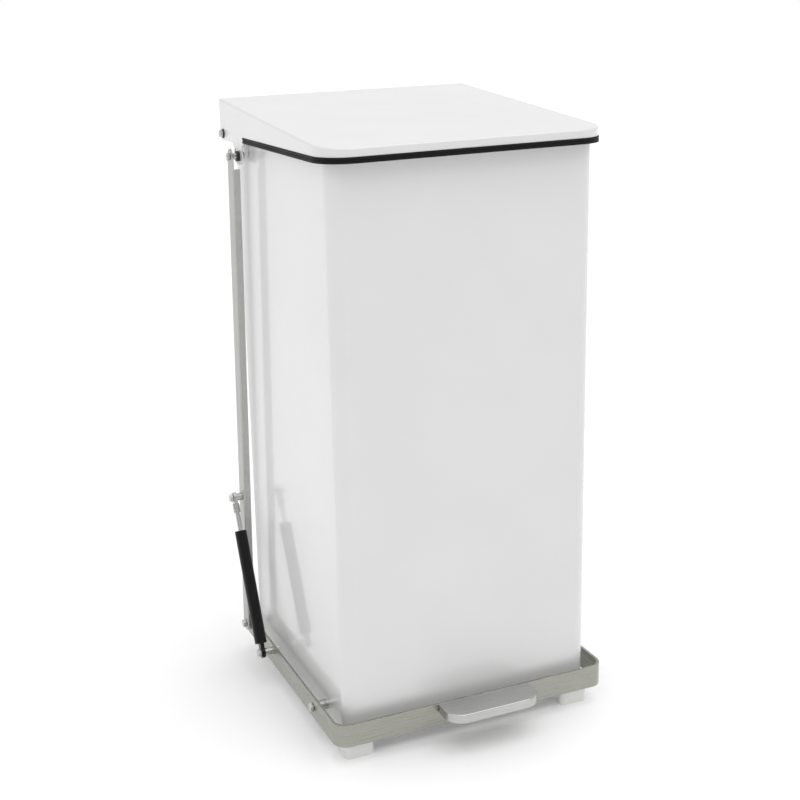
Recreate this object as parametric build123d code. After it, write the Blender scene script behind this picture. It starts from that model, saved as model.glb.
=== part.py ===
from build123d import *
import os
from math import atan2, cos, degrees, hypot, radians, sin, sqrt

# Step-on waste receptacle with a damped, foot-operated lid.
# Working frame: the centre of the cabinet's footprint on the floor, front towards -Y, +Z up.
# Every piece is moved to the centre of the overall footprint when it is written.
# Sizes are in millimetres.

# Cabinet
BODY_WIDTH = 330.0
BODY_DEPTH = 330.0
BODY_TOP = 712.0
BODY_CORNER = 16.0
BODY_SHEET = 1.2
HEM_HEIGHT = 15.0
PAN_SHEET = 1.2
PAN_LIP = 7.0

# Feet
FOOT_HEIGHT = 25.0
FOOT_WIDTH = 37.0
FOOT_DEPTH = 45.0
FOOT_SHEET = 3.0
FOOT_PROUD = 1.5
FOOT_CORNER = 6.0

# Liner
LINER_GAP = 20.0
LINER_SHEET = 1.0
LINER_CORNER = 25.0
LINER_TOP_DROP = 12.0
LINER_FLANGE = 4.0
LINER_FLANGE_THICKNESS = 1.6
HAND_HOLE_LENGTH = 95.0
HAND_HOLE_HEIGHT = 28.0
HAND_HOLE_DROP = 32.0

# Lid
LID_OVERHANG_FRONT = 15.0
LID_OVERHANG_SIDE = 10.0
LID_OVERHANG_REAR = 18.0
LID_SHEET = 1.5
LID_CORNER = 36.0
LID_FRONT_SKIRT = 9.5
LID_TOP_SLOPE = 33.5
LID_EDGE_ROUND = 3.0
LID_REAR_DROP = 9.0
GASKET_THICKNESS = 7.0
GASKET_WIDTH = 14.0
GASKET_PROUD = 1.0
GASKET_GROOVE_HEIGHT = 1.4
GASKET_GROOVE_DEPTH = 0.9
GASKET_GAP = 0.3
GASKET_END_FROM_HINGE = 80.0

# Lid hinge
HINGE_SETBACK = 6.0
HINGE_RISE = 6.2
HINGE_EYE_RADIUS = 8.0
HINGE_BUSH_RADIUS = 4.0
HINGE_BUSH_FLANGE_RADIUS = 6.0
HINGE_BUSH_FLANGE = 1.0
HINGE_SPACER_RADIUS = 4.5
BRACKET_SHEET = 2.5
BRACKET_BASE_WIDTH = 30.0
BRACKET_BASE_BOTTOM = 66.0
BRACKET_BASE_TOP = 17.0
BRACKET_LEG_WIDTH = 12.0
BRACKET_HOLE_SPACING = 24.0

# Foot lever, a flat strip bent round the front of the cabinet
STRAP_GAP_SIDE = 14.8
STRAP_GAP_FRONT = 13.0
STRAP_THICKNESS = 3.2
STRAP_HEIGHT = 28.6
STRAP_BOTTOM = 26.0
STRAP_BEND = 18.0
STRAP_EDGE = 0.4
PIVOT_FROM_FRONT = 65.0
RIGHT_ARM_REACH = 40.0
LIFT_PIN_FROM_REAR = 15.0
LEVER_END_MARGIN = 12.0

# Foot plate
PEDAL_WIDTH = 124.0
PEDAL_OFFSET = 11.0
PEDAL_REACH = 36.0
PEDAL_SHEET = 2.0
PEDAL_RIM = 11.0
PEDAL_FRONT_RADIUS = 22.0
PEDAL_EDGE = 1.4
PEDAL_BRACKET_WIDTH = 90.0
PEDAL_BRACKET_REACH = 22.0
PEDAL_BRACKET_HEIGHT = 15.0
PEDAL_BRACKET_SHEET = 2.0
PEDAL_STUD_SPACING = 72.0
PEDAL_STUD_RADIUS = 2.5
PEDAL_STUD_LENGTH = 17.0
PEDAL_STUD_FROM_STRAP = 14.0

# Lift rod, an angle section between the lever and the lid
ROD_WEB = 20.0
ROD_FLANGE = 10.0
ROD_SHEET = 2.0
ROD_STANDOFF = 2.0
ROD_FLANGE_START = 24.0
ROD_FLANGE_STOP = 15.0
LIFT_PIN_FORWARD = 60.0
LIFT_PIN_DROP = 23.2
EAR_AHEAD_OF_PIN = 13.5
EAR_BEHIND_PIN = 18.0
EAR_BELOW_PIN = 10.5
EAR_FILLET = 8.0
EAR_CORNER = 9.0
EAR_SLOT_TRAVEL = 10.6
EAR_SLOT_WIDTH = 9.0
EAR_SLOT_ANGLE = 25.0

# Damper
DAMPER_OFFSET = 14.0
DAMPER_TUBE_RADIUS = 8.0
DAMPER_TUBE_WALL = 1.2
DAMPER_TUBE_START = 12.0
DAMPER_TUBE_LENGTH = 151.0
DAMPER_CAP = 4.0
DAMPER_ROD_RADIUS = 3.2
DAMPER_GLAND_LENGTH = 10.0
DAMPER_PISTON_LENGTH = 14.0
DAMPER_PISTON_HEIGHT = 62.0
DAMPER_EYE_RADIUS = 7.0
DAMPER_EYE_WIDTH = 5.0
DAMPER_NECK_RADIUS = 5.0
DAMPER_SLEEVE_RADIUS = 4.6
DAMPER_SLEEVE_START = 21.0
DAMPER_SLEEVE_END = 8.5
DAMPER_LOW_AHEAD = 102.0
DAMPER_LOW_RAISE = 6.0
DAMPER_HIGH_ALONG_ROD = 194.0

# Fasteners
M6_RADIUS = 3.0
M6_FLATS = 10.0
M6_HEAD = 4.0
M6_NUT = 5.0
M6_TAIL = 1.5
M5_RADIUS = 2.5
M5_FLATS = 8.0
M5_HEAD = 3.2
M5_NUT = 4.0
M5_TAIL = 1.2
PIN_HEAD = 4.0
HEX_CHAMFER = 0.6
SHOULDER_RADIUS = 4.0
SPACER_RADIUS = 6.0
THIN_SPACER_RADIUS = 5.0
UPPER_SPACER_RADIUS = 4.0
WASHER_RADIUS = 6.5
WASHER_THICKNESS = 1.2
COLLAR_THICKNESS = 3.4

# Clearances
RUNNING = 0.06
SLIDING = 0.05
SIDE_PLAY = 0.3
OPEN_PIVOT = 0.7
RIM_CLEARANCE = 0.4

# Planes and points worked out from the sizes above
HALF_W = BODY_WIDTH / 2
HALF_D = BODY_DEPTH / 2
LID_X = HALF_W + LID_OVERHANG_SIDE
LID_FRONT = -HALF_D - LID_OVERHANG_FRONT
LID_REAR = HALF_D + LID_OVERHANG_REAR
LID_BOTTOM = BODY_TOP + GASKET_GAP + GASKET_THICKNESS
LID_FRONT_TOP = LID_BOTTOM + LID_FRONT_SKIRT
LID_REAR_TOP = LID_FRONT_TOP + LID_TOP_SLOPE
HINGE_Y = HALF_D + HINGE_SETBACK
HINGE_Z = BODY_TOP + HINGE_RISE
LID_REAR_BOTTOM = HINGE_Z - LID_REAR_DROP
GASKET_END = HINGE_Y - GASKET_END_FROM_HINGE
EAR_PIN_Y = HINGE_Y - LIFT_PIN_FORWARD
EAR_PIN_Z = HINGE_Z - LIFT_PIN_DROP

STRAP_IN_X = HALF_W + STRAP_GAP_SIDE
STRAP_OUT_X = STRAP_IN_X + STRAP_THICKNESS
STRAP_FRONT = -HALF_D - STRAP_GAP_FRONT - STRAP_THICKNESS
STRAP_TOP = STRAP_BOTTOM + STRAP_HEIGHT
STRAP_MID = STRAP_BOTTOM + STRAP_HEIGHT / 2
PIVOT_Y = -HALF_D + PIVOT_FROM_FRONT
LEVER_END_Y = HALF_D - LIFT_PIN_FROM_REAR

WEB_IN_X = STRAP_OUT_X + ROD_STANDOFF
WEB_OUT_X = WEB_IN_X + ROD_SHEET
ROD_LENGTH = hypot(EAR_PIN_Y - LEVER_END_Y, EAR_PIN_Z - STRAP_MID)
ROD_LEAN = degrees(atan2(LEVER_END_Y - EAR_PIN_Y, EAR_PIN_Z - STRAP_MID))

DAMPER_X = STRAP_OUT_X + DAMPER_OFFSET
DAMPER_TUBE_BORE = DAMPER_TUBE_RADIUS - DAMPER_TUBE_WALL
DAMPER_LOW_Y = LEVER_END_Y - DAMPER_LOW_AHEAD
DAMPER_LOW_Z = STRAP_MID + DAMPER_LOW_RAISE
DAMPER_HIGH_Y = LEVER_END_Y - DAMPER_HIGH_ALONG_ROD * sin(radians(ROD_LEAN))
DAMPER_HIGH_Z = STRAP_MID + DAMPER_HIGH_ALONG_ROD * cos(radians(ROD_LEAN))
DAMPER_LENGTH = hypot(DAMPER_HIGH_Y - DAMPER_LOW_Y, DAMPER_HIGH_Z - DAMPER_LOW_Z)
DAMPER_LEAN = degrees(atan2(DAMPER_LOW_Y - DAMPER_HIGH_Y, DAMPER_HIGH_Z - DAMPER_LOW_Z))
DAMPER_STUD_HEAD_X = DAMPER_X + DAMPER_EYE_WIDTH / 2 + SIDE_PLAY

PIVOT_HEAD_X = STRAP_OUT_X + RIM_CLEARANCE
PEDAL_FRONT = STRAP_FRONT - PEDAL_REACH
LEFT_MOST = -(DAMPER_STUD_HEAD_X + M6_HEAD)
RIGHT_MOST = PIVOT_HEAD_X + M6_HEAD
ORIGIN_X = (LEFT_MOST + RIGHT_MOST) / 2
ORIGIN_Y = (PEDAL_FRONT + LID_REAR) / 2

LEFT = -1
RIGHT = 1


def write(name, *solids):
    """Writes one node, moved to the centre of the overall footprint."""
    shape = solids[0] if len(solids) == 1 else Compound(list(solids))
    export_step(shape.moved(Location((-ORIGIN_X, -ORIGIN_Y, 0))), f"parts/{name}.step")


def block(x0, x1, y0, y1, z0, z1):
    """A box between two corners, given in any order along each axis."""
    centre = Pos((x0 + x1) / 2, (y0 + y1) / 2, (z0 + z1) / 2)
    return centre * Box(abs(x1 - x0), abs(y1 - y0), abs(z1 - z0))


def bar_x(side, y, z, radius, inner, outer):
    """A round bar across the side wall, between two distances from the centre plane."""
    centre = Pos(side * (inner + outer) / 2, y, z)
    return centre * Rot(0, 90, 0) * Cylinder(radius, outer - inner)


def sleeve_x(side, y, z, radius, bore, inner, outer):
    return bar_x(side, y, z, radius, inner, outer) - bar_x(side, y, z, bore, inner - 1, outer + 1)


def hexagon(flats, thickness):
    """A hexagon head or nut standing on its face, its corners turned off at both ends."""
    corners = flats / sqrt(3)
    prism = extrude(RegularPolygon(corners, 6), amount=thickness)
    turned = Pos(0, 0, thickness / 2) * Cylinder(corners, thickness)
    turned = chamfer(turned.edges().filter_by(GeomType.CIRCLE), HEX_CHAMFER, HEX_CHAMFER * 1.7)
    return prism & turned


def hexagon_x(side, y, z, flats, inner, outer):
    """A hexagon head or nut across the side wall."""
    return Pos(inner if side > 0 else -outer, y, z) * Rot(0, 90, 0) * hexagon(flats, outer - inner)


def nut_x(side, y, z, flats, bore, inner, outer):
    return hexagon_x(side, y, z, flats, inner, outer) - bar_x(side, y, z, bore, inner - 1, outer + 1)


def rounded_plan(width, depth, radius, z0, z1):
    """An upright prism on a rectangle with four round corners."""
    return extrude(Pos(0, 0, z0) * RectangleRounded(width, depth, radius), amount=z1 - z0)


def front_plan(half_width, front, rear, radius, z0, z1):
    """An upright prism whose two front corners are round and whose rear corners are square."""
    outline = Pos(0, (front + rear) / 2) * Rectangle(2 * half_width, rear - front)
    outline = fillet(outline.vertices().sort_by(Axis.Y)[:2], radius)
    return extrude(Pos(0, 0, z0) * outline, amount=z1 - z0)


def make_body_shell():
    inner_width = BODY_WIDTH - 2 * BODY_SHEET
    inner_depth = BODY_DEPTH - 2 * BODY_SHEET
    inner_corner = BODY_CORNER - BODY_SHEET
    shell = rounded_plan(BODY_WIDTH, BODY_DEPTH, BODY_CORNER, FOOT_HEIGHT, BODY_TOP)
    shell -= rounded_plan(inner_width, inner_depth, inner_corner, FOOT_HEIGHT - 1, BODY_TOP + 1)
    hem = rounded_plan(inner_width, inner_depth, inner_corner, BODY_TOP - HEM_HEIGHT, BODY_TOP)
    hem -= rounded_plan(
        inner_width - 2 * BODY_SHEET,
        inner_depth - 2 * BODY_SHEET,
        inner_corner - BODY_SHEET,
        BODY_TOP - HEM_HEIGHT - 1,
        BODY_TOP + 1,
    )
    shell += hem
    for side in (LEFT, RIGHT):
        shell -= bar_x(side, PIVOT_Y, STRAP_MID, M6_RADIUS, HALF_W - 5, HALF_W + 5)
    for x, z in bracket_holes():
        shell -= bar_y(x, z, M5_RADIUS, HALF_D - 5, HALF_D + 5)
    return shell


def make_base_pan():
    width = BODY_WIDTH - 2 * BODY_SHEET
    depth = BODY_DEPTH - 2 * BODY_SHEET
    corner = BODY_CORNER - BODY_SHEET
    floor_top = FOOT_HEIGHT + PAN_SHEET
    pan = rounded_plan(width, depth, corner, FOOT_HEIGHT, floor_top + PAN_LIP)
    pan -= rounded_plan(
        width - 2 * PAN_SHEET, depth - 2 * PAN_SHEET, corner - PAN_SHEET, floor_top, floor_top + PAN_LIP + 1
    )
    return pan


def make_foot(side, end):
    """A pressed steel foot under one corner, open at its top where the pan closes it."""
    x1 = side * (HALF_W + FOOT_PROUD)
    y1 = end * (HALF_D + FOOT_PROUD)
    x0 = x1 - side * FOOT_WIDTH
    y0 = y1 - end * FOOT_DEPTH
    foot = block(x0, x1, y0, y1, 0, FOOT_HEIGHT)
    foot = fillet(foot.edges().filter_by(Axis.Z), FOOT_CORNER)
    wall = FOOT_SHEET
    hollow = block(x0 + side * wall, x1 - side * wall, y0 + end * wall, y1 - end * wall, wall, FOOT_HEIGHT + 1)
    hollow = fillet(hollow.edges().filter_by(Axis.Z), FOOT_CORNER - wall)
    return foot - hollow


def make_liner():
    width = BODY_WIDTH - 2 * LINER_GAP
    depth = BODY_DEPTH - 2 * LINER_GAP
    bottom = FOOT_HEIGHT + PAN_SHEET
    top = BODY_TOP - LINER_TOP_DROP
    liner = rounded_plan(width, depth, LINER_CORNER, bottom, top)
    liner += rounded_plan(
        width + 2 * LINER_FLANGE,
        depth + 2 * LINER_FLANGE,
        LINER_CORNER + LINER_FLANGE,
        top - LINER_FLANGE_THICKNESS,
        top,
    )
    liner -= rounded_plan(
        width - 2 * LINER_SHEET,
        depth - 2 * LINER_SHEET,
        LINER_CORNER - LINER_SHEET,
        bottom + LINER_SHEET,
        top + 1,
    )
    grip = Plane.YZ.offset(-width) * Pos(0, top - HAND_HOLE_DROP)
    grip = grip * SlotOverall(HAND_HOLE_LENGTH, HAND_HOLE_HEIGHT)
    return liner - extrude(grip, amount=2 * width)


def bar_y(x, z, radius, y0, y1):
    return Pos(x, (y0 + y1) / 2, z) * Rot(90, 0, 0) * Cylinder(radius, y1 - y0)


def hexagon_y(x, z, flats, y0, y1):
    return Pos(x, y1, z) * Rot(90, 0, 0) * hexagon(flats, y1 - y0)


BRACKET_OUT_X = HALF_W - BODY_CORNER - SIDE_PLAY
BRACKET_IN_X = BRACKET_OUT_X - BRACKET_SHEET
WALL_IN_Y = HALF_D - BODY_SHEET
BASE_MID_Z = BODY_TOP - (BRACKET_BASE_BOTTOM + BRACKET_BASE_TOP) / 2


def bracket_holes():
    """The hinge brackets' four fixing holes in the rear wall, as X and Z pairs."""
    x = BRACKET_OUT_X - BRACKET_BASE_WIDTH / 2
    step = BRACKET_HOLE_SPACING / 2
    return [(side * x, BASE_MID_Z + dz) for side in (LEFT, RIGHT) for dz in (-step, step)]


def make_hinge_bracket(side):
    """A base flange on the rear wall and a leg that rises over the rim to the hinge bolt."""
    base_bottom = BODY_TOP - BRACKET_BASE_BOTTOM
    base_top = BODY_TOP - BRACKET_BASE_TOP
    base = block(
        side * (BRACKET_OUT_X - BRACKET_BASE_WIDTH),
        side * BRACKET_OUT_X,
        WALL_IN_Y - BRACKET_SHEET,
        WALL_IN_Y,
        base_bottom,
        base_top,
    )
    inner_y = WALL_IN_Y - BODY_SHEET - SIDE_PLAY
    over_rim = BODY_TOP + SIDE_PLAY
    outline = Polyline(
        (inner_y, base_bottom),
        (inner_y, over_rim),
        (HINGE_Y, over_rim),
        (HINGE_Y, HINGE_Z + HINGE_EYE_RADIUS),
        (inner_y - BRACKET_LEG_WIDTH + HINGE_EYE_RADIUS, HINGE_Z + HINGE_EYE_RADIUS),
        (inner_y - BRACKET_LEG_WIDTH, HINGE_Z),
        (inner_y - BRACKET_LEG_WIDTH, base_bottom),
        close=True,
    )
    start = BRACKET_IN_X if side > 0 else -BRACKET_OUT_X
    leg = extrude(Plane.YZ.offset(start) * make_face(outline), amount=BRACKET_SHEET)
    leg += bar_x(side, HINGE_Y, HINGE_Z, HINGE_EYE_RADIUS, BRACKET_IN_X, BRACKET_OUT_X)
    leg -= block(
        side * (BRACKET_IN_X - 1), side * (BRACKET_OUT_X + 1), inner_y, HINGE_Y + HINGE_EYE_RADIUS, base_bottom, over_rim
    )
    bracket = base + leg
    bracket -= bar_x(side, HINGE_Y, HINGE_Z, M5_RADIUS, BRACKET_IN_X - 1, BRACKET_OUT_X + 1)
    for x, z in bracket_holes():
        bracket -= bar_y(x, z, M5_RADIUS, WALL_IN_Y - 5, WALL_IN_Y + 1)
    return bracket


def make_bracket_bolts():
    bolts = []
    for x, z in bracket_holes():
        bolt = hexagon_y(x, z, M5_FLATS, HALF_D, HALF_D + M5_HEAD)
        bolt += bar_y(x, z, M5_RADIUS, WALL_IN_Y - BRACKET_SHEET - M5_NUT, HALF_D)
        bolts.append(bolt)
    return bolts


def make_bracket_nuts():
    nuts = []
    for x, z in bracket_holes():
        seat = WALL_IN_Y - BRACKET_SHEET
        nut = hexagon_y(x, z, M5_FLATS, seat - M5_NUT, seat)
        nuts.append(nut - bar_y(x, z, M5_RADIUS, seat - M5_NUT - 1, seat + 1))
    return nuts


HINGE_HEAD_X = LID_X + HINGE_BUSH_FLANGE + SIDE_PLAY


def make_hinge_bolt(side):
    tail = BRACKET_IN_X - M5_NUT - M5_TAIL
    bolt = hexagon_x(side, HINGE_Y, HINGE_Z, M5_FLATS, HINGE_HEAD_X, HINGE_HEAD_X + PIN_HEAD)
    return bolt + bar_x(side, HINGE_Y, HINGE_Z, M5_RADIUS, tail, HINGE_HEAD_X)


def make_hinge_spacer(side):
    end = LID_X - LID_SHEET - SIDE_PLAY
    return sleeve_x(side, HINGE_Y, HINGE_Z, HINGE_SPACER_RADIUS, M5_RADIUS, BRACKET_OUT_X, end)


def make_hinge_nut(side):
    return nut_x(side, HINGE_Y, HINGE_Z, M5_FLATS, M5_RADIUS, BRACKET_IN_X - M5_NUT, BRACKET_IN_X)


def make_hinge_bush(side):
    """A flanged plastic bush in the lid's skirt, which turns on the hinge bolt."""
    bush = bar_x(side, HINGE_Y, HINGE_Z, HINGE_BUSH_RADIUS, LID_X - LID_SHEET, LID_X)
    bush += bar_x(side, HINGE_Y, HINGE_Z, HINGE_BUSH_FLANGE_RADIUS, LID_X, LID_X + HINGE_BUSH_FLANGE)
    return bush - bar_x(side, HINGE_Y, HINGE_Z, M5_RADIUS + RUNNING, LID_X - 5, LID_X + 5)


def lid_top_cutter(drop):
    """Everything above the lid's sloping top, lowered by a sheet's thickness where asked."""
    high = LID_REAR_TOP + 50
    outline = Polyline(
        (LID_FRONT - 20, LID_FRONT_TOP - drop - slope_rise(20)),
        (LID_REAR + 20, LID_REAR_TOP - drop + slope_rise(20)),
        (LID_REAR + 20, high),
        (LID_FRONT - 20, high),
        close=True,
    )
    return extrude(Plane.YZ.offset(-LID_X - 5) * make_face(outline), amount=2 * LID_X + 10)


def slope_rise(length):
    return length * LID_TOP_SLOPE / (LID_REAR - LID_FRONT)


def ear_outline():
    """The left skirt's tab, with a round fillet where it leaves the skirt's lower edge."""
    front = EAR_PIN_Y - EAR_AHEAD_OF_PIN
    rear = EAR_PIN_Y + EAR_BEHIND_PIN
    bottom = EAR_PIN_Z - EAR_BELOW_PIN
    tab = Pos((front + rear) / 2, (bottom + LID_BOTTOM) / 2) * Rectangle(rear - front, LID_BOTTOM - bottom)
    tab = fillet(tab.vertices().sort_by(Axis.Y)[:2], EAR_CORNER)
    web_top = LID_REAR_BOTTOM
    corner = Pos(rear + EAR_FILLET / 2, web_top - EAR_FILLET / 2) * Rectangle(EAR_FILLET, EAR_FILLET)
    corner -= Pos(rear + EAR_FILLET, web_top - EAR_FILLET) * Circle(EAR_FILLET)
    return tab, corner


def make_lid_shell():
    low = EAR_PIN_Z - EAR_BELOW_PIN
    outer = front_plan(LID_X, LID_FRONT, LID_REAR, LID_CORNER, LID_REAR_BOTTOM, LID_REAR_TOP + 10)
    outer -= lid_top_cutter(0)
    top_face = outer.faces().sort_by(Axis.Z)[-1]
    outer = fillet(top_face.edges(), LID_EDGE_ROUND)
    inner = front_plan(
        LID_X - LID_SHEET,
        LID_FRONT + LID_SHEET,
        LID_REAR - LID_SHEET,
        LID_CORNER - LID_SHEET,
        LID_REAR_BOTTOM - 1,
        LID_REAR_TOP + 10,
    )
    inner -= lid_top_cutter(LID_SHEET)
    shell = outer - inner
    shell -= block(-LID_X - 1, LID_X + 1, LID_FRONT - 1, GASKET_END, LID_REAR_BOTTOM - 1, LID_BOTTOM)
    shell = round_rear_corners(shell)
    start = -LID_X
    for outline in ear_outline():
        shell += extrude(Plane.YZ.offset(start) * outline, amount=LID_SHEET)
    slot_reach = EAR_SLOT_TRAVEL / 2
    angle = radians(EAR_SLOT_ANGLE)
    slot = Pos(EAR_PIN_Y + slot_reach * cos(angle), EAR_PIN_Z + slot_reach * sin(angle)) * Rot(0, 0, EAR_SLOT_ANGLE)
    slot = slot * SlotCenterToCenter(EAR_SLOT_TRAVEL, EAR_SLOT_WIDTH)
    shell -= extrude(Plane.YZ.offset(start - 1) * slot, amount=LID_SHEET + 2)
    for side in (LEFT, RIGHT):
        shell -= bar_x(side, HINGE_Y, HINGE_Z, HINGE_BUSH_RADIUS, LID_X - 5, LID_X + 5)
    return shell


def round_rear_corners(shell):
    """Rounds the lower rear corner of both skirts about the hinge bolt."""
    radius = LID_REAR_DROP
    corner = Pos(LID_REAR - radius / 2, LID_REAR_BOTTOM + radius / 2) * Rectangle(radius, radius)
    corner -= Pos(LID_REAR - radius, LID_REAR_BOTTOM + radius) * Circle(radius)
    for start in (-LID_X - 1, LID_X - LID_SHEET):
        shell -= extrude(Plane.YZ.offset(start) * corner, amount=LID_SHEET + 1)
    return shell


def make_lid_gasket():
    """A rubber strip under the skirt's front and sides, a little proud of it, with a groove that makes two lobes."""
    bottom = LID_BOTTOM - GASKET_THICKNESS
    out = LID_X + GASKET_PROUD
    front = LID_FRONT - GASKET_PROUD
    corner = LID_CORNER + GASKET_PROUD
    strip = front_plan(out, front, GASKET_END, corner, bottom, LID_BOTTOM)
    strip = fillet(strip.edges().filter_by(Axis.Z, reverse=True).sort_by(Axis.Z)[-5:], GASKET_PROUD)
    strip -= front_plan(
        out - GASKET_WIDTH, front + GASKET_WIDTH, GASKET_END + 5, corner - GASKET_WIDTH, bottom - 1, LID_BOTTOM + 1
    )
    low = (bottom + LID_BOTTOM - GASKET_GROOVE_HEIGHT) / 2
    high = low + GASKET_GROOVE_HEIGHT
    depth = GASKET_GROOVE_DEPTH
    groove = front_plan(out + 1, front - 1, GASKET_END + 1, corner + 1, low, high)
    groove -= front_plan(out - depth, front + depth, GASKET_END + 2, corner - depth, low - 1, high + 1)
    return strip - groove


def make_pedal_lever():
    rear = LEVER_END_Y + LEVER_END_MARGIN
    right_rear = PIVOT_Y + RIGHT_ARM_REACH
    strap = front_plan(STRAP_OUT_X, STRAP_FRONT, rear, STRAP_BEND, STRAP_BOTTOM, STRAP_TOP)
    strap -= front_plan(
        STRAP_IN_X,
        STRAP_FRONT + STRAP_THICKNESS,
        rear + 10,
        STRAP_BEND - STRAP_THICKNESS,
        STRAP_BOTTOM - 1,
        STRAP_TOP + 1,
    )
    strap -= block(0, STRAP_OUT_X + 1, right_rear, rear + 1, STRAP_BOTTOM - 1, STRAP_TOP + 1)
    flat_edges = [edge for edge in strap.edges() if abs(edge.center().Z - STRAP_MID) > STRAP_HEIGHT / 2 - 0.01]
    strap = fillet([edge for edge in flat_edges if edge.length > STRAP_THICKNESS * 1.5], STRAP_EDGE)
    radius = STRAP_HEIGHT / 2 - 0.01
    for side, end in ((LEFT, rear), (RIGHT, right_rear)):
        corner = block(
            side * (STRAP_IN_X - 1), side * (STRAP_OUT_X + 1), end - radius, end + 1, STRAP_BOTTOM - 1, STRAP_TOP + 1
        )
        strap -= corner - bar_x(side, end - radius, STRAP_MID, radius, STRAP_IN_X - 2, STRAP_OUT_X + 2)
        bore = SHOULDER_RADIUS + RUNNING
        strap -= bar_x(side, PIVOT_Y, STRAP_MID, bore, STRAP_IN_X - 1, STRAP_OUT_X + 1)
    strap -= bar_x(LEFT, LEVER_END_Y, STRAP_MID, M6_RADIUS, STRAP_IN_X - 1, STRAP_OUT_X + 1)
    strap -= bar_x(LEFT, DAMPER_LOW_Y, DAMPER_LOW_Z, M6_RADIUS, STRAP_IN_X - 1, STRAP_OUT_X + 1)
    return strap


def make_pivot_bolt(side):
    """A shoulder bolt: the lever turns on its shoulder, and its thread clamps the spacer."""
    shoulder = STRAP_IN_X - SIDE_PLAY
    tail = HALF_W - BODY_SHEET - M6_NUT
    bolt = hexagon_x(side, PIVOT_Y, STRAP_MID, M6_FLATS, PIVOT_HEAD_X, PIVOT_HEAD_X + M6_HEAD)
    bolt += bar_x(side, PIVOT_Y, STRAP_MID, SHOULDER_RADIUS, shoulder, PIVOT_HEAD_X)
    return bolt + bar_x(side, PIVOT_Y, STRAP_MID, M6_RADIUS, tail, shoulder)


def make_pivot_spacer(side):
    return sleeve_x(side, PIVOT_Y, STRAP_MID, SPACER_RADIUS, M6_RADIUS, HALF_W, STRAP_IN_X - SIDE_PLAY)


def make_pivot_nut(side):
    seat = HALF_W - BODY_SHEET
    return nut_x(side, PIVOT_Y, STRAP_MID, M6_FLATS, M6_RADIUS, seat - M6_NUT, seat)


def pedal_plan(inset, z0, z1):
    """The foot plate's outline as an upright prism, drawn in by a sheet's thickness where asked."""
    return Pos(PEDAL_OFFSET, 0, 0) * front_plan(
        PEDAL_WIDTH / 2 - inset, PEDAL_FRONT + inset, STRAP_FRONT, PEDAL_FRONT_RADIUS - inset, z0, z1
    )


def make_pedal_plate():
    """A pressed plate flush with the strap's top edge, its front and ends turned down as a rim."""
    plate = pedal_plan(0, STRAP_TOP - PEDAL_RIM, STRAP_TOP)
    top_edges = plate.faces().sort_by(Axis.Z)[-1].edges().sort_by(Axis.Y)[:-1]
    plate = fillet(top_edges, PEDAL_EDGE)
    plate -= pedal_plan(PEDAL_SHEET, STRAP_TOP - PEDAL_RIM - 1, STRAP_TOP - PEDAL_SHEET)
    behind = PEDAL_OFFSET + PEDAL_WIDTH
    rim_back = STRAP_FRONT - PEDAL_BRACKET_SHEET
    return plate - block(
        -behind, behind, rim_back, STRAP_FRONT + 1, STRAP_TOP - PEDAL_RIM - 1, STRAP_TOP - PEDAL_SHEET
    )


def pedal_stud_points():
    y = STRAP_FRONT - PEDAL_STUD_FROM_STRAP
    return [(PEDAL_OFFSET + dx, y) for dx in (-PEDAL_STUD_SPACING / 2, PEDAL_STUD_SPACING / 2)]


def make_pedal_bracket():
    """An angle welded to the strap's front face, under the foot plate."""
    x0 = PEDAL_OFFSET - PEDAL_BRACKET_WIDTH / 2
    x1 = PEDAL_OFFSET + PEDAL_BRACKET_WIDTH / 2
    top = STRAP_TOP - PEDAL_SHEET
    sheet = PEDAL_BRACKET_SHEET
    bracket = block(x0, x1, STRAP_FRONT - sheet, STRAP_FRONT, top - PEDAL_BRACKET_HEIGHT, top)
    bracket += block(x0, x1, STRAP_FRONT - PEDAL_BRACKET_REACH, STRAP_FRONT, top - sheet, top)
    for x, y in pedal_stud_points():
        bracket -= Pos(x, y, top) * Cylinder(PEDAL_STUD_RADIUS, 4 * sheet)
    return bracket


def make_pedal_studs():
    z = STRAP_TOP - PEDAL_SHEET - PEDAL_STUD_LENGTH / 2
    return [Pos(x, y, z) * Cylinder(PEDAL_STUD_RADIUS, PEDAL_STUD_LENGTH) for x, y in pedal_stud_points()]


def make_pedal_nuts():
    seat = STRAP_TOP - PEDAL_SHEET - PEDAL_BRACKET_SHEET
    nuts = []
    for x, y in pedal_stud_points():
        nut = Pos(x, y, seat - M5_NUT) * hexagon(M5_FLATS, M5_NUT)
        nuts.append(nut - Pos(x, y, seat) * Cylinder(PEDAL_STUD_RADIUS, 4 * M5_NUT))
    return nuts


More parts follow.
